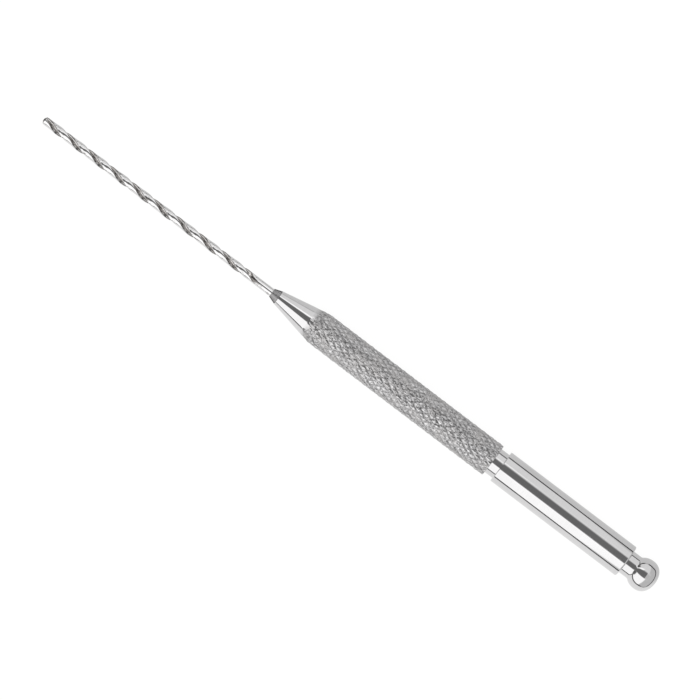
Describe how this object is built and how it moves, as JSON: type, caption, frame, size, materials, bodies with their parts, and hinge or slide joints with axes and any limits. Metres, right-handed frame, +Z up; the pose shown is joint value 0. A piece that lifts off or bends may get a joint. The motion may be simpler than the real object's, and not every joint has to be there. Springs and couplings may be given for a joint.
{
  "type": "endodontic hand file",
  "caption": "Slim steel hand instrument: straight twisted two-flute canal file clamped in a collet holder with a knurled cone-nosed grip, smooth shank and palm ball.",
  "frame": {"origin": "on the resting plane, under the middle of the tool's length", "axes": "+X along the tool from the file's tip to the palm ball, +Z up, away from the surface the tool lies on; the tool's axis is at z = 3.0 mm"},
  "size_m": [0.127, 0.006, 0.006],
  "materials": {
    "file_steel": "ground stainless steel, bright lands and finely ground flutes",
    "collet_steel": "dull turned steel",
    "knurled_steel": "diamond-knurled stainless steel with a polished cone nose",
    "polished_steel": "mirror-polished stainless steel"
  },
  "bodies": {
    "handle": {"handle_core": "polished_steel", "ball_finial": "polished_steel"},
    "chuck": {"collet": "collet_steel"},
    "sleeve": {"grip_sleeve": "knurled_steel"},
    "file": {"file_blade": "file_steel"}
  },
  "joints": [
    {"name": "collet_advance", "type": "slide", "parent": "handle", "child": "chuck", "axis": [-1, 0, 0], "range_m": [0, 0.001]},
    {"name": "sleeve_turn", "type": "hinge", "parent": "chuck", "child": "sleeve", "pos_m": [0, 0, 0.003], "axis": [-1, 0, 0], "range_deg": [0, 720]},
    {"name": "file_slide", "type": "slide", "parent": "chuck", "child": "file", "axis": [-1, 0, 0], "range_m": [0, 0.015]}
  ],
  "couplings": [
    {"joint": "sleeve_turn", "follows": "collet_advance", "rad_per_m": 12566}
  ]
}
